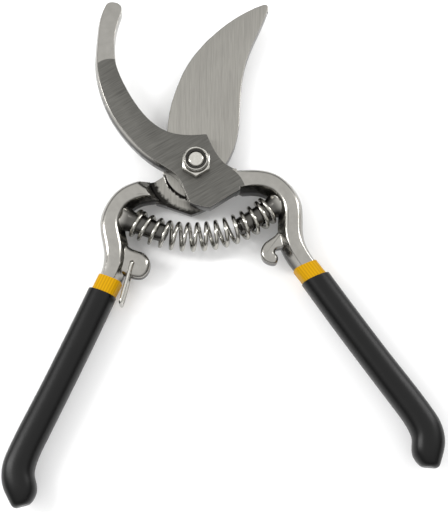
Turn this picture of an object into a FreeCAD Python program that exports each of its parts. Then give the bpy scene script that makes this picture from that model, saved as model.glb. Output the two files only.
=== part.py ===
import FreeCAD, Part
import math
import os

os.makedirs("parts", exist_ok=True)

V = FreeCAD.Vector

# ---------------------------------------------------------------- driving sizes, millimetres
# Forged bypass secateurs, 210 mm long closed.  Each arm is drawn closed, in its own frame:
# pivot on the Z axis, tip toward +Y, handle toward -Y.  The hook arm's handle lies at +X and
# the blade arm's at -X.  Heights are counted from the shear plane between the two arms.
HALF_OPEN = 26.0          # each arm is turned this far from closed in the open rest pose, degrees
SHEAR_Z = 8.5             # height of the shear plane over the outer face of the bolt head
SLIDE_GAP = 0.02          # half of the clearance between the sliding faces

HOOK_T = 6.5              # hook jaw and hub
BLADE_T = 4.5             # blade and hub
ARM_BACK = -5.0           # back of both handles
HOOK_ARM_FRONT = HOOK_T   # front of the hook arm's handle, flush with the hub
BLADE_ARM_FRONT = 5.5     # front of the blade arm's handle
ARM_MID = 0.5             # height of pegs, lug, finger and tangs

HOOK_BEVEL_H = 2.6        # height of the bevel along the jaw's outer edge
TIP_SLOPE = 5.0           # the jaw's front slopes down to the tip, degrees
TIP_SLOPE_Y = 52.0
EDGE_T = 0.4              # left of the blade's thickness at the cutting edge

HUB_FACE_R = 11.6         # rubbing face round the pivot
HUB_RELIEF = 1.0          # depth of the relief outside the rubbing face
STEP_R = 18.0             # foot of the step up to the full handle
STEP_SLOPE = 2.6          # how far the step leans back over its height
STEP_REACH = 12.0         # the room for the other hub is cut this far from the shear plane
SHOULDER_X, SHOULDER_Y = -13.0, -4.0    # middle of the cone that rounds the blade arm's shoulder
SHOULDER_R = 7.5          # its radius at the shear plane
SHOULDER_FRONT_R = 11.2   # its radius at the front of the handle
FACE_WALL = 0.9           # how far the wall round the rubbing face leans
RELIEF_TOP_Y = -6.6       # the relief is on the handle's side of this line
THROUGH = 20.0            # longer than any hole is deep

BOLT_R = 3.0              # M6 pivot bolt
HOLE_R = 3.05
HEX_AF = 10.0             # across flats, head and nut
HEAD_H = 4.0
NUT_HEX_H = 3.1
NUT_H = 6.0
DRESS_ANGLE = 30.0        # the hexagons' corners are turned off at this angle
DRESS_FLAT = 0.97         # flat end of a hexagon, as a fraction of half its width
DRESS_SPARE = 0.1         # the blank for a hexagon is this much larger than its corners
CROWN_R = 4.65            # round crown that holds the locking ring
CROWN_EDGE = 0.5          # chamfer round the crown
RING_R = 3.75             # outside of the locking ring
THREAD_GAP = 0.02
RING_DEEP = 1.9           # seat of the locking ring below the top of the nut
RING_SUNK = 0.45          # top of the locking ring below the top of the nut
MOUTH_DEEP = 0.35         # chamfer at the mouth of the nut
BOLT_SUNK = 0.1           # end of the bolt below the top of the nut
THREAD_CHAMFER = 0.55     # at the end of the bolt
DOME_FLAT_R = 1.2         # flat middle of the domed end
DOME_H = 0.05
OVERLAP = 0.5             # joined solids run this far into each other
NUT_TURN = -61.4          # one corner of nut and head, in the hook arm's frame, degrees

PEG_Y = -27.7             # spring pegs
PEG_TIP_X = 1.0
PEG_BASE_X = 19.0
# Peg profile from base to tip: distance from the middle of the tool, radius.
PEG = [(PEG_BASE_X, 4.6), (16.2, 4.3), (15.2, 3.8), (2.4, 3.3), (PEG_TIP_X, 2.3)]

SPRING_OD = 11.0
WIRE_R = 0.75
SPRING_TURNS = 15.1
SPRING_R = 42.7           # radius of the bowed spring's centre line
SPRING_SAG_Y = -26.45     # lowest point of the centre line at rest
SPRING_START = -34.8      # the arc it covers, degrees
SPRING_END = 35.4
START_PITCH = 0.36        # the end turns are closer, as a fraction of the free pitch
LAST_PITCH = 0.57
SPRING_PHASE = 2.16       # where round the coil the wire starts, radians
POINTS_PER_TURN = 14

LUG_HALF_T = 2.85         # latch lug, half thickness
LUG_ROUND = 2.2           # rounding of its rims
LEVEL = 1e-3              # an edge that rises less than this lies level
FINGER_HALF_T = 2.5
FINGER_ROUND = 1.2
LATCH_X, LATCH_Y = -8.8, -42.6    # latch hinge in the blade arm's frame
LATCH_REACH = 15.36       # hinge to the middle of the bar
LATCH_HANG = -84.0        # direction of the bail at rest, in the blade arm's frame
LATCH_HALF_W = 3.65       # hinge plane to the middle of a leg
LATCH_WIRE_R = 0.7
LATCH_HOLE_R = 0.75
LATCH_STUB = 0.9          # the turned-in ends stop this far from the middle of the lug
LATCH_BENDS = [0.75, 1.0, 1.0, 0.75]

NECK_FRONT = 4.9          # front of both handles where they enter the grips
NECK_BACK = -4.5          # and their back there
THIN_FROM_Y = -44.4       # a handle comes down to these between here
THIN_TO_Y = -58.1         # and its end
HOOK_BAND_Y = -53.0       # where each colour band starts along its handle
BLADE_BAND_Y = -50.9
BAND_SEEN = 5.8           # length of band in sight
BAND_HIDDEN = 3.6         # length tucked in the grip's mouth
HOOK_SLANT = 8.0          # slant of the sleeve ends, degrees
BLADE_SLANT = 0.0
BAND_GROW = 0.7           # band surface over the forging
COVER_GAP = 0.04          # between the band and the mouth of the grip
BAND_MIDDLE_X = 15.0      # slanted sleeve ends turn about this point of the handle

# Squareness of the oval sections: 2 is an ellipse, more is squarer.
TANG_POWER = 3.2
NECK_POWER = 3.4
GRIP_POWER = 2.5
OVAL_POINTS = 16
SECTION_STEP = 2.2        # sections of a handle or grip lie this far apart
FEWEST_SECTIONS = 4
# Points round the forged section, as fractions of its width and depth: a flat front, a slope
# on the inner side that starts narrow at the hub, and small bevels elsewhere.
FORGED = [
    (0.0, 0.14), (0.0, 0.56), (1.0, 0.80), (1.0, 0.20), (0.80, 0.0), (0.14, 0.0),
]
FRONT_END = 0.88          # outer end of the flat front
SLOPE_AT_HUB = 0.08       # its inner end at the hub
SLOPE_FULL = 0.30         # and along the rest of the handle
SLOPE_SECTIONS = 8        # the slope has its full width after this many sections

# ---------------------------------------------------------------- outlines
# Stations along a handle: inner point, outer point.
HANDLE = [
    ((4.6, -14.6), (10.2, -8.6)),
    ((9.4, -17.3), (14.7, -11.2)),
    ((13.8, -19.9), (20.0, -14.7)),
    ((16.2, -22.7), (23.6, -18.9)),
    ((17.2, -25.6), (25.3, -23.6)),
    ((17.2, -28.4), (25.8, -28.2)),
    ((16.4, -30.9), (25.2, -32.4)),
    ((14.9, -33.4), (23.5, -36.2)),
    ((13.1, -36.0), (21.3, -39.7)),
    ((11.5, -39.2), (19.5, -42.8)),
    ((10.5, -42.9), (18.4, -45.8)),
    ((10.2, -47.3), (17.9, -49.2)),
    ((10.5, -52.2), (18.1, -53.4)),
    ((11.0, -57.6), (18.6, -58.6)),
]
# Stretches with an oval section: inner point, outer point, half depth.
NECK = [
    ((10.2, -47.3), (17.9, -49.2), 5.1),
    ((10.5, -52.2), (18.1, -53.4), 5.1),
    ((11.0, -57.6), (18.6, -58.6), 5.0),
    ((11.8, -65.6), (19.4, -66.3), 4.9),
]
TANG = [
    ((11.1, -57.6), (18.5, -58.4), 4.5),
    ((12.0, -66.0), (19.4, -66.4), 4.3),
    ((13.7, -92.0), (21.1, -92.4), 4.3),
    ((15.4, -115.0), (22.8, -115.4), 4.2),
    ((15.5, -121.8), (22.7, -123.6), 4.0),
    ((14.3, -126.8), (20.7, -130.2), 3.8),
    ((12.9, -130.6), (17.6, -134.0), 2.9),
]
GRIP = [
    ((9.5, -52.0), (20.0, -52.6), 6.1),
    ((10.2, -65.0), (20.8, -65.6), 6.1),
    ((11.3, -82.0), (22.0, -82.6), 6.1),
    ((12.6, -99.0), (23.4, -99.6), 6.1),
    ((13.8, -114.0), (24.8, -114.6), 6.1),
    ((14.1, -121.0), (25.2, -121.8), 6.1),
    ((13.4, -125.4), (24.9, -127.0), 6.1),
    ((11.9, -127.8), (23.2, -131.8), 6.1),
    ((10.6, -130.0), (20.7, -135.1), 5.9),
    ((10.1, -132.2), (18.2, -137.4), 5.2),
    ((10.5, -134.4), (16.4, -138.7), 3.9),
    ((11.6, -136.4), (14.9, -139.0), 2.0),
]


def spline(points, z):
    curve = Part.BSplineCurve()
    curve.interpolate([V(x, y, z) for x, y in points])
    return curve.toShape()


def line(a, b, z):
    return Part.makeLine(V(a[0], a[1], z), V(b[0], b[1], z))


def outline(runs, z):
    """Closed wire through runs of points: two points make a line, more make a curve."""
    edges = []
    for run in runs:
        if len(run) == 2:
            edges.append(line(run[0], run[1], z))
        else:
            edges.append(spline(run, z))
    return Part.Wire(edges)


def slab(runs, z0, z1):
    face = Part.Face(outline(runs, z0))
    return face.extrude(V(0, 0, z1 - z0))


def cone(r0, z0, r1, z1):
    return Part.makeCone(r0, r1, z1 - z0, V(0, 0, z0), V(0, 0, 1))


def disc(r, z0, z1):
    return Part.makeCylinder(r, z1 - z0, V(0, 0, z0))


def to_part(shape, turn):
    """From an arm's closed frame, heights over the shear plane, to the part's rest pose."""
    placed = shape.copy()
    placed.rotate(V(0, 0, 0), V(0, 0, 1), turn)
    placed.translate(V(0, 0, SHEAR_Z))
    return placed


# ---------------------------------------------------------------- handles
def handle_section(inner, outer, back, front, slope):
    """Section of the forged bar between its inner and outer points."""
    across = V(outer.x - inner.x, outer.y - inner.y, 0)
    width = across.Length
    across.normalize()
    depth = front - back
    start = V(inner.x, inner.y, back)
    ring = FORGED[:2] + [(slope, 1.0), (FRONT_END, 1.0)] + FORGED[2:]
    corners = [start + across * (width * n) + V(0, 0, depth * h) for n, h in ring]
    return Part.makePolygon(corners + [corners[0]])


def oval_section(centre, across, half_w, half_d, power):
    """Closed smooth section, squarer than an ellipse."""
    points = []
    for i in range(OVAL_POINTS):
        a = 2 * math.pi * i / OVAL_POINTS
        c, s = math.cos(a), math.sin(a)
        n = math.copysign(abs(c) ** (2 / power), c) * half_w
        h = math.copysign(abs(s) ** (2 / power), s) * half_d
        points.append(centre + across * n + V(0, 0, h))
    curve = Part.BSplineCurve()
    curve.interpolate(points, PeriodicFlag=True)
    return Part.Wire([curve.toShape()])


def even_stations(inner, outer, heights):
    """Stations spaced evenly on smooth curves through the given inner and outer points."""
    places = [0.0]
    for i in range(1, len(inner)):
        middle = V(inner[i][0] + outer[i][0], inner[i][1] + outer[i][1], 0)
        before = V(inner[i - 1][0] + outer[i - 1][0], inner[i - 1][1] + outer[i - 1][1], 0)
        places.append(places[-1] + (middle - before).Length / 2)
    inside = Part.BSplineCurve()
    inside.interpolate([V(x, y, h) for (x, y), h in zip(inner, heights)], Parameters=places)
    outside = Part.BSplineCurve()
    outside.interpolate([V(x, y, h) for (x, y), h in zip(outer, heights)], Parameters=places)
    count = max(FEWEST_SECTIONS, round(places[-1] / SECTION_STEP))
    at = [places[-1] * i / count for i in range(count + 1)]
    return [(inside.value(t), outside.value(t)) for t in at]


def handle(front):
    """Forged handle from the hub to the start of the tang, thinner in its last stretch."""
    inner = [a for a, b in HANDLE]
    outer = [b for a, b in HANDLE]
    sections = []
    level = [0.0] * len(HANDLE)
    for i, (a, b) in enumerate(even_stations(inner, outer, level)):
        grown = min(1.0, i / SLOPE_SECTIONS)
        slope = SLOPE_AT_HUB + (SLOPE_FULL - SLOPE_AT_HUB) * grown
        middle_y = (a.y + b.y) / 2
        down = max(0.0, (middle_y - THIN_FROM_Y) / (THIN_TO_Y - THIN_FROM_Y))
        low = ARM_BACK + (NECK_BACK - ARM_BACK) * down
        high = front + (NECK_FRONT - front) * down
        sections.append(handle_section(a, b, low, high, slope))
    return Part.makeLoft(sections, True, False)


def oval_bar(stations, grow, power):
    """Smooth bar through stations of inner point, outer point and half depth."""
    inner = [a for a, b, d in stations]
    outer = [b for a, b, d in stations]
    depths = [d for a, b, d in stations]
    sections = []
    for a, b in even_stations(inner, outer, depths):
        across = V(b.x - a.x, b.y - a.y, 0)
        half_w = across.Length / 2 + grow
        across.normalize()
        centre = V((a.x + b.x) / 2, (a.y + b.y) / 2, ARM_MID)
        sections.append(oval_section(centre, across, half_w, a.z + grow, power))
    return Part.makeLoft(sections, True, False)


def tang():
    return oval_bar(TANG, 0, TANG_POWER)


def neck(grow):
    """The stretch under band and grip mouth, grown by a wall thickness."""
    return oval_bar(NECK, grow, NECK_POWER)


def below(y, slant):
    """Everything on the grip's side of a slanted end plane."""
    size = 120.0
    box = Part.makeBox(size, size, size, V(-size / 2, -size, -size / 2))
    box.rotate(V(0, 0, 0), V(0, 0, 1), -slant)
    box.translate(V(BAND_MIDDLE_X, y, 0))
    return box


# ---------------------------------------------------------------- hook arm
def hook_plate():
    """Jaw and hub: straight walls behind, a sloping bevel along the outer front edge."""
    tip_outer, tip_inner = (3.2, 72.0), (8.1, 68.2)
    jaw_in = [tip_inner, (7.4, 66.8), (5.2, 64.7), (0.6, 60.0), (-2.7, 55.0), (-5.1, 50.0),
              (-6.9, 41.0), (-7.1, 30.0), (-4.9, 20.0), (-1.8, 15.0), (4.3, 10.2), (9.1, 7.7)]
    hub_right = [(9.1, 7.7), (8.4, 1.0), (8.8, -4.8), (11.6, -9.6)]
    root = [(11.6, -9.6), (8.6, -17.0)]
    hub_low = [(8.6, -17.0), (4.7, -16.8), (0.0, -16.9), (-4.3, -17.0)]
    corner = [(-4.3, -17.0), (-7.1, -14.7), (-9.8, -11.6)]
    waist = [(-9.8, -11.6), (-8.8, -5.2), (-8.5, -2.0), (-10.0, 3.2)]
    back = [(-10.0, 3.2), (-12.3, 6.8), (-14.4, 11.4), (-17.0, 21.4), (-17.8, 31.4),
            (-16.6, 41.4), (-13.2, 51.4), (-6.7, 61.4), (-0.7, 69.0), tip_outer]
    back_front = [(-9.9, 3.4), (-11.7, 7.3), (-13.6, 11.7), (-15.9, 21.5), (-16.8, 31.2),
                  (-15.6, 41.2), (-12.3, 50.9), (-5.9, 60.8), (0.3, 68.4), (3.7, 71.5)]
    rim_middle = [(5.0, 72.3), (6.8, 71.3), (8.0, 69.6)]
    rim = [tip_outer] + rim_middle + [tip_inner]
    rim_front = [back_front[-1]] + rim_middle + [tip_inner]
    waist_front = waist[:-1] + [back_front[0]]
    fixed = [jaw_in, hub_right, root, hub_low, corner]
    level = HOOK_T - HOOK_BEVEL_H
    base = slab(fixed + [waist, back, rim], SLIDE_GAP, level)
    low = outline(fixed + [waist, back, rim], level)
    high = outline(fixed + [waist_front, back_front, rim_front], HOOK_T)
    bevel = Part.makeLoft([low, high], True, True)
    return base.fuse(bevel)


def tip_slope():
    """What the sloping front of the jaw's tip leaves out."""
    size = 60.0
    block = Part.makeBox(size, size, size, V(-size / 2, 0, 0))
    block.rotate(V(0, 0, 0), V(1, 0, 0), -TIP_SLOPE)
    block.translate(V(0, TIP_SLOPE_Y, HOOK_T))
    return block


def step_cutter(side):
    """Room for the other arm's hub: side +1 clears in front of the shear plane, -1 behind."""
    lean = STEP_SLOPE * STEP_REACH / BLADE_ARM_FRONT
    if side > 0:
        return cone(STEP_R, -SLIDE_GAP, STEP_R + lean, STEP_REACH)
    return cone(STEP_R + lean, -STEP_REACH, STEP_R, SLIDE_GAP)


def shoulder_cutter():
    """Rounds off the outer corner where the blade arm's handle rises from its hub."""
    lean = (SHOULDER_FRONT_R - SHOULDER_R) * STEP_REACH / BLADE_ARM_FRONT
    cutter = cone(SHOULDER_R, -SLIDE_GAP, SHOULDER_R + lean, STEP_REACH)
    cutter.translate(V(SHOULDER_X, SHOULDER_Y, 0))
    return cutter


def relief_cutter(side):
    """Shallow relief between the rubbing face and the step, on the handle's side of the hub."""
    deep = disc(STEP_R, -HUB_RELIEF, 0)
    face = cone(HUB_FACE_R + FACE_WALL, -HUB_RELIEF, HUB_FACE_R, 0)
    size = 60.0
    box = Part.makeBox(size, size, size, V(-size / 2, RELIEF_TOP_Y - size, -size / 2))
    ring = deep.cut(face).common(box)
    if side < 0:
        ring = ring.mirror(V(0, 0, 0), V(0, 0, 1))
    return ring


def peg():
    """Spring peg on the inner side of a handle, pointing to the other one."""
    profile = [(PEG_BASE_X, 0)] + PEG + [(PEG_TIP_X, 0)]
    points = [V(x, r, 0) for x, r in profile]
    face = Part.Face(Part.makePolygon(points + [points[0]]))
    solid = face.revolve(V(0, 0, 0), V(1, 0, 0), 360)
    solid.translate(V(0, PEG_Y, ARM_MID))
    return solid


def finger():
    """Catch on the hook arm: the bail's bar sits in the notch behind it."""
    hook = [(12.2, -37.0), (10.0, -37.6), (6.0, -38.0), (3.4, -39.8), (2.4, -42.6),
            (3.9, -45.7), (5.6, -46.6), (7.2, -45.6), (7.65, -43.9)]
    notch = [(7.65, -43.9), (7.6, -42.9), (8.5, -42.2), (9.6, -42.4), (10.6, -43.0)]
    runs = [hook, notch, [(10.6, -43.0), (14.5, -42.0)], [(14.5, -42.0), (12.2, -37.0)]]
    return rounded_slab(runs, ARM_MID - FINGER_HALF_T, ARM_MID + FINGER_HALF_T, FINGER_ROUND)


def rounded_slab(runs, z0, z1, r):
    """Slab whose front and back rims are rounded."""
    solid = slab(runs, z0, z1)
    rims = []
    for edge in solid.Edges:
        box = edge.BoundBox
        if box.ZLength < LEVEL and edge.Curve.TypeId != "Part::GeomLine":
            rims.append(edge)
    return solid.makeFillet(r, rims)


def hook_arm():
    body = handle(HOOK_ARM_FRONT).cut(step_cutter(-1))
    body = body.fuse([hook_plate().cut(tip_slope()), tang(), peg(), finger()])
    body = body.cut([relief_cutter(-1), disc(HOLE_R, -THROUGH, THROUGH)])
    return body.removeSplitter()


# ---------------------------------------------------------------- blade arm
def blade_plate():
    """Blade and hub: flat in front, with a flat bevel ground on the back up to the edge."""
    tip = [(0.4, 70.0), (1.9, 70.5), (3.0, 69.0)]
    spine = [(3.0, 69.0), (2.7, 60.0), (2.3, 50.0), (3.2, 41.0), (6.1, 30.0), (9.2, 20.0),
             (10.1, 14.0), (9.7, 6.0), (8.6, -0.5), (8.8, -5.2), (9.8, -11.6)]
    corner = [(9.8, -11.6), (7.1, -14.7), (4.3, -17.1)]
    low = [(4.3, -17.1), (0.0, -17.2), (-4.7, -17.3), (-9.4, -17.6)]
    root = [(-9.4, -17.6), (-13.6, -11.2)]
    peak = [(-13.6, -11.2), (-10.5, -7.0)]
    flank = [(-10.5, -7.0), (-11.9, -2.0), (-12.2, 3.0), (-14.4, 6.4)]
    edge = [(-14.4, 6.4), (-16.4, 13.0), (-17.8, 20.0), (-18.3, 27.5), (-17.9, 36.0),
            (-15.7, 45.0), (-11.3, 55.0), (-4.5, 65.0), (0.4, 70.0)]
    bevel_line = [(-10.2, 9.4), (-10.4, 14.0), (-10.4, 20.0), (-10.3, 27.5), (-9.7, 36.0),
                  (-7.9, 44.0), (-4.9, 53.0), (-0.6, 62.5), (1.6, 68.0)]
    heel = flank[:-1] + [bevel_line[0]]
    tip_back = [bevel_line[-1], (2.2, 68.6), tip[-1]]
    fixed = [spine, corner, low, root, peak]
    full = [tip] + fixed + [flank, edge]
    face = slab(full, -EDGE_T, -SLIDE_GAP)
    front = outline(full, -EDGE_T)
    rear = outline([tip_back] + fixed + [heel, bevel_line], -BLADE_T)
    return face.fuse(Part.makeLoft([front, rear], True, True))


def lug():
    """Rounded lug that carries the latch bail."""
    nose = [(-13.4, -36.4), (-11.2, -37.4), (-6.2, -37.5), (-2.9, -39.8), (-2.0, -43.2),
            (-3.4, -46.4), (-6.4, -47.5), (-12.8, -47.8)]
    runs = [nose, [(-12.8, -47.8), (-13.4, -36.4)]]
    return rounded_slab(runs, ARM_MID - LUG_HALF_T, ARM_MID + LUG_HALF_T, LUG_ROUND)


def across_yz(shape):
    return shape.mirror(V(0, 0, 0), V(1, 0, 0))


def blade_arm():
    body = across_yz(handle(BLADE_ARM_FRONT)).cut([step_cutter(1), shoulder_cutter()])
    body = body.fuse([blade_plate(), across_yz(tang()), across_yz(peg()), lug()])
    pin_hole = disc(LATCH_HOLE_R, -THROUGH, THROUGH)
    pin_hole.translate(V(LATCH_X, LATCH_Y, 0))
    body = body.cut([relief_cutter(1), disc(HOLE_R, -THROUGH, THROUGH), pin_hole])
    return body.removeSplitter()


# ---------------------------------------------------------------- pivot
def revolved(profile):
    """Solid of revolution about Z from (radius, height) points; both ends on the axis."""
    points = [V(r, 0, z) for r, z in profile]
    face = Part.Face(Part.makePolygon(points + [points[0]]))
    return face.revolve(V(0, 0, 0), V(0, 0, 1), 360)


def hexagon(af, z0, z1, turn):
    r = af / math.sqrt(3)
    angles = [math.radians(turn + 60 * i) for i in range(7)]
    points = [V(r * math.cos(a), r * math.sin(a), z0) for a in angles]
    return Part.Face(Part.makePolygon(points)).extrude(V(0, 0, z1 - z0))


def dressed_hexagon(af, z0, z1, turn):
    """Hexagon whose corners are turned off at both ends."""
    corner = af / math.sqrt(3) + DRESS_SPARE
    flat = af / 2 * DRESS_FLAT
    rise = (corner - flat) * math.tan(math.radians(DRESS_ANGLE))
    blank = revolved([(0, z0), (flat, z0), (corner, z0 + rise), (corner, z1 - rise),
                      (flat, z1), (0, z1)])
    return hexagon(af, z0, z1, turn).common(blank)


def pivot_bolt():
    head_z = -SHEAR_Z
    shank_z = head_z + HEAD_H
    top = HOOK_T + NUT_H - BOLT_SUNK
    dome_z = top - DOME_H
    head = dressed_hexagon(HEX_AF, head_z, shank_z, NUT_TURN)
    shank = revolved([(0, shank_z - OVERLAP), (BOLT_R, shank_z - OVERLAP),
                      (BOLT_R, dome_z - THREAD_CHAMFER), (BOLT_R - THREAD_CHAMFER, dome_z),
                      (DOME_FLAT_R, top), (0, top)])
    return head.fuse(shank).removeSplitter()


def lock_nut():
    z0 = HOOK_T + SLIDE_GAP
    crown_z = z0 + NUT_HEX_H
    top = HOOK_T + NUT_H
    base = dressed_hexagon(HEX_AF, z0, crown_z, NUT_TURN)
    crown = revolved([(0, z0), (CROWN_R, z0), (CROWN_R, top - CROWN_EDGE),
                      (CROWN_R - CROWN_EDGE, top), (0, top)])
    bore = disc(BOLT_R + THREAD_GAP, -THROUGH, THROUGH)
    seat = disc(RING_R + THREAD_GAP, top - RING_DEEP, THROUGH)
    lead = cone(RING_R, top - MOUTH_DEEP, RING_R + MOUTH_DEEP, top)
    return base.fuse(crown).removeSplitter().cut([bore, seat, lead])


def locking_ring():
    top = HOOK_T + NUT_H - RING_SUNK
    low = HOOK_T + NUT_H - RING_DEEP + THREAD_GAP
    return disc(RING_R, low, top).cut(disc(BOLT_R + THREAD_GAP, -THROUGH, THROUGH))


# ---------------------------------------------------------------- coverings
def colour_band(front, top_y, slant):
    end = below(top_y - BAND_SEEN - BAND_HIDDEN, slant)
    tube = neck(BAND_GROW).common(below(top_y, slant)).cut(end)
    return tube.cut([handle(front), tang()])


def grip(front, top_y, slant):
    mouth_end = below(top_y - BAND_SEEN - BAND_HIDDEN - COVER_GAP, slant)
    mouth = neck(BAND_GROW + COVER_GAP).cut(mouth_end)
    body = oval_bar(GRIP, 0, GRIP_POWER).common(below(top_y - BAND_SEEN, slant))
    return body.cut([handle(front), tang(), mouth])


# ---------------------------------------------------------------- wire parts
def wire_along(path, r):
    start = path.Edges[0]
    p = start.valueAt(start.FirstParameter)
    t = start.tangentAt(start.FirstParameter)
    section = Part.Wire([Part.makeCircle(r, p, t)])
    return path.makePipeShell([section], True, True)


def coil_spring():
    """Bowed compression spring: a helix round an arc, with one closed turn at each end."""
    coil_r = SPRING_OD / 2 - WIRE_R
    count = int(SPRING_TURNS * POINTS_PER_TURN)
    free = SPRING_TURNS - (1 - START_PITCH) - (1 - LAST_PITCH)
    centre_y = SPRING_SAG_Y + SPRING_R
    points = []
    for i in range(count + 1):
        turn = i / POINTS_PER_TURN
        first = min(turn, 1) * (1 - START_PITCH)
        last = max(turn - (SPRING_TURNS - 1), 0) * (1 - LAST_PITCH)
        along = (turn - first - last) / free
        bow = math.radians(SPRING_START + (SPRING_END - SPRING_START) * along)
        a = 2 * math.pi * turn + SPRING_PHASE
        reach = SPRING_R + coil_r * math.cos(a)
        points.append(V(reach * math.sin(bow), centre_y - reach * math.cos(bow),
                        ARM_MID + coil_r * math.sin(a)))
    curve = Part.BSplineCurve()
    curve.interpolate(points)
    return wire_along(Part.Wire([curve.toShape()]), WIRE_R)


def rounded_path(points, radii):
    """Wire through points with each inner corner rounded."""
    edges = []
    here = points[0]
    for before, corner, after, r in zip(points, points[1:], points[2:], radii):
        into = (corner - before).normalize()
        away = (after - corner).normalize()
        turn = into.getAngle(away)
        cut = r * math.tan(turn / 2)
        a = corner - into * cut
        b = corner + away * cut
        middle = (away - into).normalize()
        centre = corner + middle * (r / math.cos(turn / 2))
        edges.append(Part.makeLine(here, a))
        edges.append(Part.Arc(a, centre - middle * r, b).toShape())
        here = b
    edges.append(Part.makeLine(here, points[-1]))
    return Part.Wire(edges)


def latch_bail():
    """U of wire: its turned-in ends sit in the lug's hole, the bar drops in the notch."""
    a = math.radians(LATCH_HANG)
    eye = V(LATCH_X, LATCH_Y, ARM_MID)
    bar = eye + V(math.cos(a), math.sin(a), 0) * LATCH_REACH
    side = V(0, 0, LATCH_HALF_W)
    stub = V(0, 0, LATCH_STUB)
    path = [eye + stub, eye + side, bar + side, bar - side, eye - side, eye - stub]
    return wire_along(rounded_path(path, LATCH_BENDS), LATCH_WIRE_R)


# ---------------------------------------------------------------- assembly
HOOK_SIDE = (HOOK_ARM_FRONT, HOOK_BAND_Y, HOOK_SLANT)
BLADE_SIDE = (BLADE_ARM_FRONT, BLADE_BAND_Y, BLADE_SLANT)

PARTS = {
    "hook_arm": (hook_arm(), HALF_OPEN),
    "blade_arm": (blade_arm(), -HALF_OPEN),
    "pivot_bolt": (pivot_bolt(), HALF_OPEN),
    "lock_nut": (lock_nut(), HALF_OPEN),
    "lock_nut_ring": (locking_ring(), HALF_OPEN),
    "coil_spring": (coil_spring(), 0),
    "latch_bail": (latch_bail(), -HALF_OPEN),
    "right_band": (colour_band(*HOOK_SIDE), HALF_OPEN),
    "left_band": (across_yz(colour_band(*BLADE_SIDE)), -HALF_OPEN),
    "right_grip": (grip(*HOOK_SIDE), HALF_OPEN),
    "left_grip": (across_yz(grip(*BLADE_SIDE)), -HALF_OPEN),
}

for name, (shape, turn) in PARTS.items():
    to_part(shape, turn).exportStep("parts/" + name + ".step")
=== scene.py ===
import math

import bpy
from mathutils import Matrix, Vector


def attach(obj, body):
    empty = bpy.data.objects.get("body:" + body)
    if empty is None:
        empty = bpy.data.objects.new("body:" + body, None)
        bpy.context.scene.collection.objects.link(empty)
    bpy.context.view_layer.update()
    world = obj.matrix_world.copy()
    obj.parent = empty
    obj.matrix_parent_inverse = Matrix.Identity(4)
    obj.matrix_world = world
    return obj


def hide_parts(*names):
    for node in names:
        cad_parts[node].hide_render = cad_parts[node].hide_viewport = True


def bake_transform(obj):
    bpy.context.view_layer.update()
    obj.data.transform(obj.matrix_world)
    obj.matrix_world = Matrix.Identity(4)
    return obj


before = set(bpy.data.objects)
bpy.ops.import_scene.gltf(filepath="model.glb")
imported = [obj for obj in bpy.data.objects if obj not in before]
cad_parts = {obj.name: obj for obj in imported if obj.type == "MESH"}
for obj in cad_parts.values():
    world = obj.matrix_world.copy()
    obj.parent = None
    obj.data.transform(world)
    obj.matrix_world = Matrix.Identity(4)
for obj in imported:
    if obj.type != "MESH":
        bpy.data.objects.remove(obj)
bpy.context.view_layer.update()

MM = 0.001

# ---------------------------------------------------------------- how the shears are set out
# Each arm has its own frame, in which the tool is closed: pivot on Z, tip toward +Y.
HALF_OPEN = 26.0            # each arm stands this far from closed, degrees
SHEAR_Z = 8.5 * MM          # height of the plane that the two arms slide on
ARM_MID_Z = 9.0 * MM        # height of pegs, lug and finger
HOOK_FRONT_Z = 15.0 * MM    # front of hub, jaw and handle of the hook arm
BLADE_FRONT_Z = 14.0 * MM   # front of the blade arm's handle
PEG_Y = -27.7 * MM          # spring pegs, in each arm's frame
PEG_R = 4.7 * MM
SLEEVE_Y = -49.0 * MM       # the bare handles end here
MOUTH_X = 15.0 * MM         # the slanted mouth of a grip turns about this point of the handle
FACE_R = 12.1 * MM          # wall round the rubbing face of the hub
STEP_R = 18.0 * MM          # foot of the step up to the handle
SLEEVE_X = 14.4 * MM        # middle of a sleeve, in its arm's frame
SLEEVE_LEAN = 5.0           # how far a sleeve leans from Y, degrees
FLAT = (1, 1, 0)            # drops the height of a point

# Spring: a helix round an arc, with one close turn at each end.
WIRE_R = 0.75 * MM
COIL_R = 4.75 * MM
SPRING_R = 42.7 * MM
SPRING_CENTRE_Y = 16.25 * MM
SPRING_TURNS = 15.1
SPRING_ARC = (-34.8, 35.4)  # degrees
FIRST_PITCH = 0.36
LAST_PITCH = 0.57
SPRING_PHASE = 2.16
POINTS_PER_TURN = 40
WIRE_SIDES = 6              # bevel resolution of the wire

# Edge radii left by forging, tumbling and dipping
HANDLE_EDGE = 0.9 * MM
PLATE_EDGE = 0.22 * MM
HARDWARE_EDGE = 0.12 * MM
SHARP = math.radians(28.0)  # edges that turn more than this are rounded
WELD = 0.002 * MM           # vertices closer than this are one
LEVEL = math.radians(0.4)   # faces that turn less than this are one
SMOOTH_UNDER = math.radians(35)       # edges that turn less than this are shaded smooth
WIRE_SMOOTH_UNDER = math.radians(40)
FRONT_DEPTH = 0.6 * MM      # edges this near a handle's front belong to it
HOOK_HANDLE_X = 11.0 * MM   # the handles' rounded edges start this far from the middle
BLADE_HANDLE_X = 8.0 * MM
HOOK_HANDLE_Y = -9.5 * MM   # and the hook arm's, below this line
EDGE_GROWS = 6.0 * MM       # the radius reaches its full size over this length
EDGE_FADES = 5.0 * MM       # and falls again over this length before the sleeve

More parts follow.
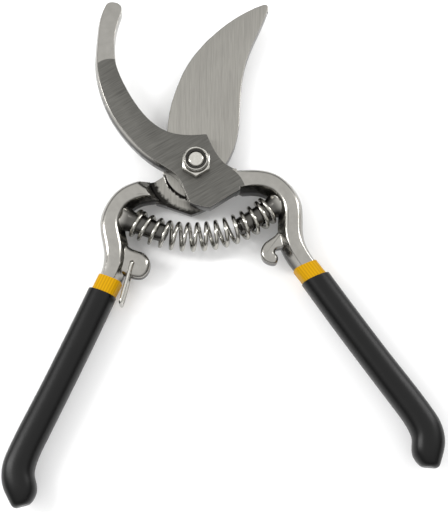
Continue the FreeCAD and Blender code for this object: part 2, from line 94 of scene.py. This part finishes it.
# Sizes of the marks on the surfaces
LONG_SCRATCH = 16.0 * MM
SHORT_SCRATCH = 6.0 * MM
SCRATCH_DEPTH = 5.0 * MM
SHINE_CLOUD = 3.0 * MM      # uneven shine of a polished handle
PIT = 0.5 * MM              # pits where the painted shade, the scale and the dark pegs lie
SHADE_AND_SCALE_PATCH = 1.4 * MM      # ragged edge of the painted shade and scale
DRAWING_MARK = 0.9 * MM     # on plated wire and hardware
SKIN_CLOUD = 7.0 * MM       # slow change of tone over a dipped skin
RIBS = 36.0                 # round a sleeve

# The ground face of the hook arm ends at these two arcs, in the arm's frame
TIP_ARC_CENTRE = (-10.1 * MM, 45.4 * MM, 0)
TIP_ARC_R = 7.4 * MM
TIP_ARC_Y = 47.0 * MM
ROOT_ARC_CENTRE = (-0.8 * MM, -13.6 * MM, 0)
ROOT_ARC_R = 11.9 * MM
ROOT_ARC_Y = -8.8 * MM

# Where painted shade, black scale and dark pegs go, in an arm's frame
WALL_RAGGED = 0.9           # how far the painted shade's edge wanders over a wall, of its slope
CORNER_RAGGED = 3.6 * MM    # and over the relief
PEG_BLACK_X = 15.8 * MM     # a peg is black up to here
PEG_BARE_X = 19.0 * MM      # and the arm is bare past here
PEG_BLACKNESS = 0.75

# Camera and lights
CAMERA_PLACE = Vector((-5.50, -166.52, 541.2)) * MM
CAMERA_TARGET = Vector((7.00, -34.31, 8.5)) * MM
CAMERA_UP = Vector((0.0913, 0.9660, 0.2419))
CAMERA_LENS = 105.47
FLOOR_SIZE = 3.0
FLOOR_Z = -0.2 * MM
LIGHT_TARGET = Vector((0, -0.03, 0))
SOFTBOXES = (               # name, place, width and height, watts
    ("left_softbox", (-0.55, 0.10, 0.45), (0.15, 0.6), 4.0),
    ("right_softbox", (0.60, 0.25, 0.40), (0.12, 0.6), 3.0),
)


# ---------------------------------------------------------------- small helpers
def linear(code):
    """The linear colour of an sRGB hex code."""
    parts = [int(code[i:i + 2], 16) / 255 for i in (1, 3, 5)]
    return [p / 12.92 if p <= 0.04045 else ((p + 0.055) / 1.055) ** 2.4 for p in parts] + [1.0]


def add(tree, kind, settings={}, inputs={}):
    """Adds a shader node, with its settings, and fills or links its inputs."""
    made = tree.nodes.new("ShaderNode" + kind)
    for name, value in settings.items():
        setattr(made, name, value)
    for socket, value in inputs.items():
        if isinstance(value, bpy.types.NodeSocket):
            tree.links.new(value, made.inputs[socket])
        else:
            made.inputs[socket].default_value = value
    return made


def select_only(piece):
    bpy.ops.object.select_all(action="DESELECT")
    piece.select_set(True)
    bpy.context.view_layer.objects.active = piece


def own_frame(point, side):
    """A point in an arm's own closed frame; side is +1 for the hook arm, -1 for the blade arm."""
    return Matrix.Rotation(math.radians(-side * HALF_OPEN), 3, "Z") @ point


def softened(node, name, radius_at, segments):
    """A piece on a CAD node's own shape, with each sharp edge rounded to the radius of its place."""
    piece = bpy.data.objects.new(name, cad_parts[node].data.copy())
    bpy.context.scene.collection.objects.link(piece)
    select_only(piece)
    bpy.ops.mesh.customdata_custom_splitnormals_clear()
    bpy.ops.object.mode_set(mode="EDIT")
    bpy.ops.mesh.select_all(action="SELECT")
    bpy.ops.mesh.remove_doubles(threshold=WELD)
    bpy.ops.mesh.dissolve_limited(angle_limit=LEVEL)
    bpy.ops.mesh.select_all(action="DESELECT")
    bpy.ops.mesh.select_mode(type="EDGE")
    bpy.ops.mesh.edges_select_sharp(sharpness=SHARP)
    bpy.ops.object.mode_set(mode="OBJECT")
    mesh = piece.data
    weight = mesh.attributes.new("bevel_weight_edge", "FLOAT", "EDGE")
    radii = {}
    for edge in mesh.edges:
        if edge.select:
            ends = [mesh.vertices[v].co for v in edge.vertices]
            radii[edge.index] = min(radius_at(end) for end in ends)
    largest = max(radii.values())
    for index, radius in radii.items():
        weight.data[index].value = radius / largest
    rounding = piece.modifiers.new("rounding", "BEVEL")
    rounding.limit_method = "WEIGHT"
    rounding.width = largest
    rounding.segments = segments
    rounding.use_clamp_overlap = False
    bpy.ops.object.modifier_apply(modifier="rounding")
    bpy.ops.object.shade_smooth_by_angle(angle=SMOOTH_UNDER)
    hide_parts(node)
    return piece


def handle_radius(at, start):
    """Round along the front of a handle, crisp where it starts and again under the sleeve."""
    into_handle = (abs(at.x) - start) / EDGE_GROWS
    before_sleeve = (at.y - SLEEVE_Y) / EDGE_FADES
    share = min(max(min(into_handle, before_sleeve), 0.0), 1.0)
    return PLATE_EDGE + (HANDLE_EDGE - PLATE_EDGE) * share


def hook_arm_radius(point):
    at = own_frame(point, 1)
    on_handle = at.z > HOOK_FRONT_Z - FRONT_DEPTH and at.y < HOOK_HANDLE_Y
    return handle_radius(at, HOOK_HANDLE_X) if on_handle else PLATE_EDGE


def blade_arm_radius(point):
    at = own_frame(point, -1)
    on_handle = at.z > BLADE_FRONT_Z - FRONT_DEPTH
    return handle_radius(at, BLADE_HANDLE_X) if on_handle else PLATE_EDGE


# ---------------------------------------------------------------- spring
def spring_point(turn):
    """A point of the wire's middle line, a number of turns from the left end."""
    free = SPRING_TURNS - (1 - FIRST_PITCH) - (1 - LAST_PITCH)
    first = min(turn, 1) * (1 - FIRST_PITCH)
    last = max(turn - (SPRING_TURNS - 1), 0) * (1 - LAST_PITCH)
    along = (turn - first - last) / free
    bow = math.radians(SPRING_ARC[0] + (SPRING_ARC[1] - SPRING_ARC[0]) * along)
    a = 2 * math.pi * turn + SPRING_PHASE
    reach = SPRING_R + COIL_R * math.cos(a)
    y = SPRING_CENTRE_Y - reach * math.cos(bow)
    return Vector((reach * math.sin(bow), y, ARM_MID_Z + COIL_R * math.sin(a)))


def spring():
    curve = bpy.data.curves.new("spring_wire", "CURVE")
    curve.dimensions = "3D"
    count = int(SPRING_TURNS * POINTS_PER_TURN)
    line = curve.splines.new("POLY")
    line.points.add(count)
    for i in range(count + 1):
        line.points[i].co = (*spring_point(i / POINTS_PER_TURN), 1)
    curve.bevel_depth = WIRE_R
    curve.bevel_resolution = WIRE_SIDES
    curve.use_fill_caps = True
    piece = bpy.data.objects.new("spring_wire", curve)
    bpy.context.scene.collection.objects.link(piece)
    select_only(piece)
    bpy.ops.object.convert(target="MESH")
    piece = bpy.context.object
    bpy.ops.object.shade_smooth_by_angle(angle=WIRE_SMOOTH_UNDER)
    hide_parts("coil_spring")
    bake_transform(piece)
    return piece


# ---------------------------------------------------------------- materials
SMOOTH = {"interpolation_type": "SMOOTHSTEP"}
GRIP_BLACK = "#080808"


def new_material(name):
    material = bpy.data.materials.new(name)
    material.use_nodes = True
    tree = material.node_tree
    return material, tree, tree.nodes["Principled BSDF"]


def arm_steel(name, side, face, zones):
    """Forged carbon steel: hub and jaw ground to fine straight lines, handles polished to a
    soft shine; painted shade on the inward walls, painted shade mixed with forging scale in the relief's
    corners, and dark pegs."""
    material, tree, shader = new_material(name)
    place = add(tree, "TexCoord")
    turn = (0, 0, -side * math.radians(HALF_OPEN))
    own = add(tree, "Mapping", {}, {"Vector": place.outputs["Object"], "Rotation": turn})
    kind = {"vector_type": "NORMAL"}
    normal = add(tree, "Mapping", kind, {"Vector": place.outputs["Normal"], "Rotation": turn})
    at = add(tree, "SeparateXYZ", {}, {0: own.outputs[0]})
    facing = add(tree, "SeparateXYZ", {}, {0: normal.outputs[0]})
    limits = {"Value": facing.outputs["Z"], "From Min": 0.90, "From Max": 0.97}
    front = add(tree, "MapRange", SMOOTH, limits).outputs[0]
    ground = zones(tree, own, at, front)

    # Grinding lines: grit scratches of about 0.05 mm, drawn three times as coarse to show.
    angle = (0, 0, math.radians(face["line_angle"]))
    turned = add(tree, "Mapping", {}, {"Vector": own.outputs[0], "Rotation": angle})
    long_scale = (1 / LONG_SCRATCH, 1 / (face["line"] * 2), 1 / SCRATCH_DEPTH)
    long_lines = add(tree, "Mapping", {}, {"Vector": turned.outputs[0], "Scale": long_scale})
    short_scale = (1 / SHORT_SCRATCH, 1 / face["line"], 1 / SCRATCH_DEPTH)
    short_lines = add(tree, "Mapping", {}, {"Vector": turned.outputs[0], "Scale": short_scale})
    coarse = add(tree, "TexNoise", {}, {"Vector": long_lines.outputs[0], "Scale": 1.0, "Detail": 2.0})
    fine = add(tree, "TexNoise", {}, {"Vector": short_lines.outputs[0], "Scale": 1.0, "Detail": 1.0})
    lines = add(tree, "Math", {"operation": "ADD"}, {0: coarse.outputs[0], 1: fine.outputs[0]})
    tone = add(tree, "MapRange", {}, {"Value": lines.outputs[0], "From Min": 0.7, "From Max": 1.3})
    colours = {0: tone.outputs[0], 6: linear(face["low"]), 7: linear(face["high"])}
    ground_colour = add(tree, "Mix", {"data_type": "RGBA"}, colours)

    # Polished handles, faintly uneven
    grain = {"Vector": own.outputs[0], "Scale": 1 / SHINE_CLOUD, "Detail": 4.0}
    cloud = add(tree, "TexNoise", {}, grain)
    colours = {0: cloud.outputs[0], 6: linear(face["polish_low"]), 7: linear(face["polish_high"])}
    polished = add(tree, "Mix", {"data_type": "RGBA"}, colours)

    # Painted shade on the inward walls and in the relief's corners (there mixed with forging scale), and the
    # dark pegs
    dark = painted_shade_and_scale_mask(tree, side, own, normal, at, facing)
    colours = {0: ground, 6: polished.outputs[2], 7: ground_colour.outputs[2]}
    colour = add(tree, "Mix", {"data_type": "RGBA"}, colours)
    # the painted shade, the corners' scale and the pegs all take this near-black
    colours = {0: dark, 6: colour.outputs[2], 7: linear("#22211F")}
    colour = add(tree, "Mix", {"data_type": "RGBA"}, colours)
    tree.links.new(colour.outputs[2], shader.inputs["Base Color"])
    shader.inputs["Metallic"].default_value = 1.0
    rough = add(tree, "MapRange", {}, {"Value": ground, "To Min": 0.22, "To Max": face["roughness"]})
    tree.links.new(rough.outputs[0], shader.inputs["Roughness"])

    grooves = add(tree, "Math", {"operation": "MULTIPLY"}, {0: lines.outputs[0], 1: ground})
    grain = {"Vector": own.outputs[0], "Scale": 1 / PIT, "Detail": 3.0}
    pits = add(tree, "TexNoise", {}, grain)
    heights = {0: pits.outputs[0], 1: dark, 2: grooves.outputs[0]}
    height = add(tree, "Math", {"operation": "MULTIPLY_ADD"}, heights)
    bump = add(tree, "Bump", {}, {"Height": height.outputs[0], "Strength": 0.25, "Distance": 0.03 * MM})
    tree.links.new(bump.outputs[0], shader.inputs["Normal"])
    return material


def painted_shade_and_scale_mask(tree, side, own, normal, at, facing):
    """Where painted shade goes on steep inward walls, painted shade mixed with forging scale in the relief's
    corners, and the dark pegs.
    """
    patches = {"Vector": own.outputs[0], "Scale": 1 / SHADE_AND_SCALE_PATCH, "Detail": 5.0, "Roughness": 0.65}
    mottle = add(tree, "TexNoise", {}, patches)
    uneven = add(tree, "Math", {"operation": "SUBTRACT"}, {0: mottle.outputs[0], 1: 0.5})
    # Painted shade on steep walls that face in toward the middle and down the tool, with a ragged edge
    inward = Vector((-side * 0.7, -0.7, 0.0))
    toward = add(tree, "VectorMath", {"operation": "DOT_PRODUCT"}, {0: normal.outputs[0], 1: inward})
    terms = {0: uneven.outputs[0], 1: WALL_RAGGED, 2: toward.outputs["Value"]}
    spread = add(tree, "Math", {"operation": "MULTIPLY_ADD"}, terms)
    limits = {"Value": spread.outputs[0], "From Min": 0.38, "From Max": 0.66}
    walls = add(tree, "MapRange", SMOOTH, limits).outputs[0]
    limits = {"Value": facing.outputs["Z"], "From Min": 0.44, "From Max": 0.2}
    steep = add(tree, "MapRange", SMOOTH, limits).outputs[0]
    walls = add(tree, "Math", {"operation": "MULTIPLY"}, {0: walls, 1: steep})

    # The pegs are round bars along X, coloured dark
    middle = (0, PEG_Y, ARM_MID_Z)
    off = add(tree, "VectorMath", {"operation": "SUBTRACT"}, {0: own.outputs[0], 1: middle})
    off = add(tree, "VectorMath", {"operation": "MULTIPLY"}, {0: off.outputs[0], 1: (0, 1, 1)})
    off_axis = add(tree, "VectorMath", {"operation": "LENGTH"}, {0: off.outputs[0]})
    limits = {"Value": off_axis.outputs["Value"], "From Min": PEG_R * 1.12, "From Max": PEG_R}
    on_peg = add(tree, "MapRange", SMOOTH, limits).outputs[0]
    out_x = add(tree, "Math", {"operation": "ABSOLUTE"}, {0: at.outputs["X"]})
    limits = {"Value": out_x.outputs[0], "From Min": PEG_BARE_X, "From Max": PEG_BLACK_X}
    inside = add(tree, "MapRange", SMOOTH, limits).outputs[0]
    peg = add(tree, "Math", {"operation": "MULTIPLY"}, {0: on_peg, 1: inside})
    peg = add(tree, "Math", {"operation": "MULTIPLY"}, {0: peg.outputs[0], 1: PEG_BLACKNESS})

    # Painted shade in the corners of the relief, mixed with forging scale: by the step's foot and round the
    # rubbing face
    flat = add(tree, "VectorMath", {"operation": "MULTIPLY"}, {0: own.outputs[0], 1: FLAT})
    out = add(tree, "VectorMath", {"operation": "LENGTH"}, {0: flat.outputs[0]})
    terms = {0: uneven.outputs[0], 1: CORNER_RAGGED, 2: out.outputs["Value"]}
    wavy = add(tree, "Math", {"operation": "MULTIPLY_ADD"}, terms)
    limits = {"Value": wavy.outputs[0], "From Min": STEP_R - 2.8 * MM, "From Max": STEP_R - 1.2 * MM}
    by_step = add(tree, "MapRange", SMOOTH, limits).outputs[0]
    limits = {"Value": wavy.outputs[0], "From Min": FACE_R + 0.7 * MM, "From Max": FACE_R + 0.1 * MM}
    by_face = add(tree, "MapRange", SMOOTH, limits).outputs[0]
    corner = add(tree, "Math", {"operation": "MAXIMUM"}, {0: by_step, 1: by_face})
    limits = {"Value": out.outputs["Value"], "From Min": FACE_R - 0.9 * MM, "From Max": FACE_R - 0.3 * MM}
    above_face = add(tree, "MapRange", SMOOTH, limits).outputs[0]
    corner = add(tree, "Math", {"operation": "MULTIPLY"}, {0: corner.outputs[0], 1: above_face})
    limits = {"Value": out.outputs["Value"], "From Min": STEP_R + 2.2 * MM, "From Max": STEP_R + 0.8 * MM}
    within = add(tree, "MapRange", SMOOTH, limits).outputs[0]
    corner = add(tree, "Math", {"operation": "MULTIPLY"}, {0: corner.outputs[0], 1: within})
    sunk = add(tree, "Math", {"operation": "SUBTRACT"}, {0: at.outputs["Z"], 1: SHEAR_Z})
    sunk = add(tree, "Math", {"operation": "MULTIPLY"}, {0: sunk.outputs[0], 1: -side})
    limits = {"Value": sunk.outputs[0], "From Min": -5.0 * MM, "From Max": -4.0 * MM}
    low = add(tree, "MapRange", SMOOTH, limits).outputs[0]
    limits = {"Value": sunk.outputs[0], "From Min": 1.4 * MM, "From Max": 1.2 * MM}
    shallow = add(tree, "MapRange", SMOOTH, limits).outputs[0]
    limits = {"Value": at.outputs["Y"], "From Min": -6.2 * MM, "From Max": -6.8 * MM}
    handle_side = add(tree, "MapRange", SMOOTH, limits).outputs[0]
    for zone in (low, shallow, handle_side):
        corner = add(tree, "Math", {"operation": "MULTIPLY"}, {0: corner.outputs[0], 1: zone})
    dark = add(tree, "Math", {"operation": "MAXIMUM"}, {0: walls.outputs[0], 1: peg.outputs[0]})
    return add(tree, "Math", {"operation": "MAXIMUM"}, {0: dark.outputs[0], 1: corner.outputs[0]}).outputs[0]


def hook_zones(tree, own, at, front):
    """The ground face stops at an arc on the jaw's tip and at another where the handle starts."""
    flat = add(tree, "VectorMath", {"operation": "MULTIPLY"}, {0: own.outputs[0], 1: FLAT})
    tip = add(tree, "VectorMath", {"operation": "DISTANCE"}, {0: flat.outputs[0], 1: TIP_ARC_CENTRE})
    past_tip = add(tree, "Math", {"operation": "GREATER_THAN"}, {0: tip.outputs["Value"], 1: TIP_ARC_R})
    high = add(tree, "Math", {"operation": "GREATER_THAN"}, {0: at.outputs["Y"], 1: TIP_ARC_Y})
    tip_zone = add(tree, "Math", {"operation": "MULTIPLY"}, {0: past_tip.outputs[0], 1: high.outputs[0]})
    root = add(tree, "VectorMath", {"operation": "DISTANCE"}, {0: flat.outputs[0], 1: ROOT_ARC_CENTRE})
    past_root = add(tree, "Math", {"operation": "GREATER_THAN"}, {0: root.outputs["Value"], 1: ROOT_ARC_R})
    low = add(tree, "Math", {"operation": "LESS_THAN"}, {0: at.outputs["Y"], 1: ROOT_ARC_Y})
    arm_zone = add(tree, "Math", {"operation": "MULTIPLY"}, {0: past_root.outputs[0], 1: low.outputs[0]})
    left = add(tree, "Math", {"operation": "MAXIMUM"}, {0: tip_zone.outputs[0], 1: arm_zone.outputs[0]})
    kept = add(tree, "Math", {"operation": "SUBTRACT"}, {0: 1.0, 1: left.outputs[0]})
    return add(tree, "Math", {"operation": "MULTIPLY"}, {0: kept.outputs[0], 1: front}).outputs[0]


def blade_zones(tree, own, at, front):
    """The blade's front is ground; the handle, higher than the shear plane, isn't."""
    level = add(tree, "Math", {"operation": "LESS_THAN"}, {0: at.outputs["Z"], 1: SHEAR_Z + 0.2 * MM})
    return add(tree, "Math", {"operation": "MULTIPLY"}, {0: level.outputs[0], 1: front}).outputs[0]


def plated_steel(name, low, high, roughness):
    """Nickel plated wire and hardware: bright and mirror-like, with faint drawing marks."""
    material, tree, shader = new_material(name)
    place = add(tree, "TexCoord")
    marks = {"Vector": place.outputs["Object"], "Scale": 1 / DRAWING_MARK, "Detail": 4.0}
    cloud = add(tree, "TexNoise", {}, marks)
    colours = {0: cloud.outputs[0], 6: linear(low), 7: linear(high)}
    colour = add(tree, "Mix", {"data_type": "RGBA"}, colours)
    tree.links.new(colour.outputs[2], shader.inputs["Base Color"])
    spread = {"Value": cloud.outputs[0], "To Min": roughness * 0.7, "To Max": roughness * 1.3}
    rough = add(tree, "MapRange", {}, spread)
    tree.links.new(rough.outputs[0], shader.inputs["Roughness"])
    shader.inputs["Metallic"].default_value = 1.0
    bump = add(tree, "Bump", {}, {"Height": cloud.outputs[0], "Strength": 0.2, "Distance": 0.02 * MM})
    tree.links.new(bump.outputs[0], shader.inputs["Normal"])
    return material


def vinyl(name, low, high, roughness, grain):
    """Dipped PVC or moulded nylon: a dark satin skin with a fine pebble that breaks up its shine."""
    material, tree, shader = new_material(name)
    place = add(tree, "TexCoord")
    tones = {"Vector": place.outputs["Object"], "Scale": 1 / SKIN_CLOUD, "Detail": 3.0}
    cloud = add(tree, "TexNoise", {}, tones)
    colours = {0: cloud.outputs[0], 6: linear(low), 7: linear(high)}
    colour = add(tree, "Mix", {"data_type": "RGBA"}, colours)
    tree.links.new(colour.outputs[2], shader.inputs["Base Color"])
    shader.inputs["Specular IOR Level"].default_value = 0.22
    grains = {"Vector": place.outputs["Object"], "Scale": 1 / grain, "Detail": 2.0}
    pebble = add(tree, "TexNoise", {}, grains)
    spread = {"Value": cloud.outputs[0], "To Min": roughness - 0.05, "To Max": roughness + 0.05}
    rough = add(tree, "MapRange", {}, spread)
    tree.links.new(rough.outputs[0], shader.inputs["Roughness"])
    bump = add(tree, "Bump", {}, {"Height": pebble.outputs[0], "Strength": 0.12, "Distance": 0.04 * MM})
    tree.links.new(bump.outputs[0], shader.inputs["Normal"])
    return material


def ribbed_vinyl(name, side, middle_y, mouth_y, slant):
    """Extruded vinyl sleeve: a deep satin yellow, with fine ribs along the handle and painted shade in
    their grooves. The end tucked in the grip is coloured black, because one corner of it stands out through
    the thin mouth."""
    material, tree, shader = new_material(name)
    place = add(tree, "TexCoord")
    turn = (0, 0, -side * math.radians(HALF_OPEN))
    own = add(tree, "Mapping", {}, {"Vector": place.outputs["Object"], "Rotation": turn})
    centre = (side * SLEEVE_X, middle_y, ARM_MID_Z)
    off = add(tree, "VectorMath", {"operation": "SUBTRACT"}, {0: own.outputs[0], 1: centre})
    lean = (0, 0, -side * math.radians(SLEEVE_LEAN))
    along = add(tree, "Mapping", {}, {"Vector": off.outputs[0], "Rotation": lean})
    at = add(tree, "SeparateXYZ", {}, {0: along.outputs[0]})
    round_it = add(tree, "Math", {"operation": "ARCTAN2"}, {0: at.outputs["Z"], 1: at.outputs["X"]})
    ribs = add(tree, "Math", {"operation": "MULTIPLY"}, {0: round_it.outputs[0], 1: RIBS})
    ribs = add(tree, "Math", {"operation": "SINE"}, {0: ribs.outputs[0]})
    # Painted shade: the yellow darkens in the grooves between the ribs
    tone = add(tree, "MapRange", {}, {"Value": ribs.outputs[0], "From Min": -1.0, "From Max": 0.2})
    colours = {0: tone.outputs[0], 6: linear("#A27900"), 7: linear("#B98A00")}
    yellow = add(tree, "Mix", {"data_type": "RGBA"}, colours)
    mouth = (side * MOUTH_X, mouth_y, 0)
    past = add(tree, "VectorMath", {"operation": "SUBTRACT"}, {0: own.outputs[0], 1: mouth})
    across = (math.sin(math.radians(slant)), math.cos(math.radians(slant)), 0)
    past = add(tree, "VectorMath", {"operation": "DOT_PRODUCT"}, {0: past.outputs[0], 1: across})
    limits = {"Value": past.outputs["Value"], "From Min": 0.0, "From Max": -0.05 * MM}
    tucked = add(tree, "MapRange", SMOOTH, limits)
    colours = {0: tucked.outputs[0], 6: yellow.outputs[2], 7: linear(GRIP_BLACK)}
    colour = add(tree, "Mix", {"data_type": "RGBA"}, colours)
    tree.links.new(colour.outputs[2], shader.inputs["Base Color"])
    shader.inputs["Roughness"].default_value = 0.45
    shader.inputs["Specular IOR Level"].default_value = 0.08
    bump = add(tree, "Bump", {}, {"Height": ribs.outputs[0], "Strength": 0.5, "Distance": 0.05 * MM})
    tree.links.new(bump.outputs[0], shader.inputs["Normal"])
    return material


def dress(piece, material, body=None):
    piece.data.materials.clear()
    piece.data.materials.append(material)
    if body:
        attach(piece, body)


# ---------------------------------------------------------------- studio
def studio():
    """A bright ceiling that darkens to the horizon, two tall softboxes and a pale floor."""
    world = bpy.data.worlds.new("studio")
    bpy.context.scene.world = world
    world.use_nodes = True
    tree = world.node_tree
    sky = add(tree, "TexCoord")
    up = add(tree, "SeparateXYZ", {}, {0: sky.outputs["Generated"]})
    fade = {"Value": up.outputs["Z"], "From Min": 0.1, "From Max": 0.85, "To Min": 0.12, "To Max": 1.3}
    glow = add(tree, "MapRange", SMOOTH, fade)
    background = tree.nodes["Background"]
    background.inputs["Color"].default_value = (1, 1, 1, 1)
    tree.links.new(glow.outputs[0], background.inputs["Strength"])
    bpy.ops.mesh.primitive_plane_add(size=FLOOR_SIZE, location=(0, 0, FLOOR_Z))
    floor = bpy.context.object
    floor.name = "floor"
    material, _, shader = new_material("pale_floor")
    shader.inputs["Base Color"].default_value = linear("#F4F4F4")
    shader.inputs["Roughness"].default_value = 0.9
    shader.inputs["Specular IOR Level"].default_value = 0.0
    floor.data.materials.append(material)
    for name, place, size, power in SOFTBOXES:
        light = bpy.data.lights.new(name, "AREA")
        light.shape = "RECTANGLE"
        light.size, light.size_y = size
        light.energy = power
        lamp = bpy.data.objects.new(name, light)
        lamp.location = place
        aim = LIGHT_TARGET - Vector(place)
        lamp.rotation_euler = aim.to_track_quat("-Z", "Y").to_euler()
        bpy.context.scene.collection.objects.link(lamp)


def camera():
    back = (CAMERA_PLACE - CAMERA_TARGET).normalized()
    right = CAMERA_UP.cross(back).normalized()
    data = bpy.data.cameras.new("camera")
    data.lens = CAMERA_LENS
    data.sensor_width = 36.0
    data.clip_start = 0.01
    cam = bpy.data.objects.new("camera", data)
    turn = Matrix((right, back.cross(right), back)).transposed()
    cam.matrix_world = Matrix.Translation(CAMERA_PLACE) @ turn.to_4x4()
    bpy.context.scene.collection.objects.link(cam)
    bpy.context.scene.camera = cam


# ---------------------------------------------------------------- assembly
bpy.context.scene.view_settings.view_transform = "Standard"
camera()
studio()

HOOK_FACE = {
    "line_angle": 0.0, "line": 0.17 * MM, "low": "#4E4D4A", "high": "#666561",
    "polish_low": "#8A8883", "polish_high": "#9C9A95", "roughness": 0.42,
}
BLADE_FACE = {
    "line_angle": 69.4, "line": 0.14 * MM, "low": "#84827D", "high": "#95938D",
    "polish_low": "#8C8A85", "polish_high": "#9E9C97", "roughness": 0.36,
}
hook_steel = arm_steel("ground_forged_steel_hook", 1, HOOK_FACE, hook_zones)
blade_steel = arm_steel("ground_forged_steel_blade", -1, BLADE_FACE, blade_zones)
nickel = plated_steel("nickel_plated_steel", "#A9A7A0", "#C9C7C1", 0.16)
spring_nickel = plated_steel("nickel_plated_spring_wire", "#8D8B85", "#B5B3AC", 0.18)
nylon = vinyl("dark_nylon_ring", "#1A1917", "#2B2926", 0.5, 0.3 * MM)
black_pvc = vinyl("black_dipped_pvc", "#040404", GRIP_BLACK, 0.36, 0.35 * MM)
right_yellow = ribbed_vinyl("yellow_ribbed_vinyl_right", 1, -56.0 * MM, -58.8 * MM, 8.0)
left_yellow = ribbed_vinyl("yellow_ribbed_vinyl_left", -1, -54.0 * MM, -56.7 * MM, 0.0)

hook = softened("hook_arm", "hook_forging", hook_arm_radius, 4)
blade = softened("blade_arm", "blade_forging", blade_arm_radius, 4)
bolt = softened("pivot_bolt", "bolt", lambda point: HARDWARE_EDGE, 2)
nut = softened("lock_nut", "nut", lambda point: HARDWARE_EDGE, 2)
dress(hook, hook_steel, "hook_side")
dress(blade, blade_steel, "blade_side")
dress(bolt, nickel, "hook_side")
dress(nut, nickel, "hook_side")
dress(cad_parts["right_grip"], black_pvc)
dress(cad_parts["left_grip"], black_pvc)
dress(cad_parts["lock_nut_ring"], nylon)
dress(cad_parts["latch_bail"], nickel)
dress(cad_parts["right_band"], right_yellow)
dress(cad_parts["left_band"], left_yellow)
dress(spring(), spring_nickel)
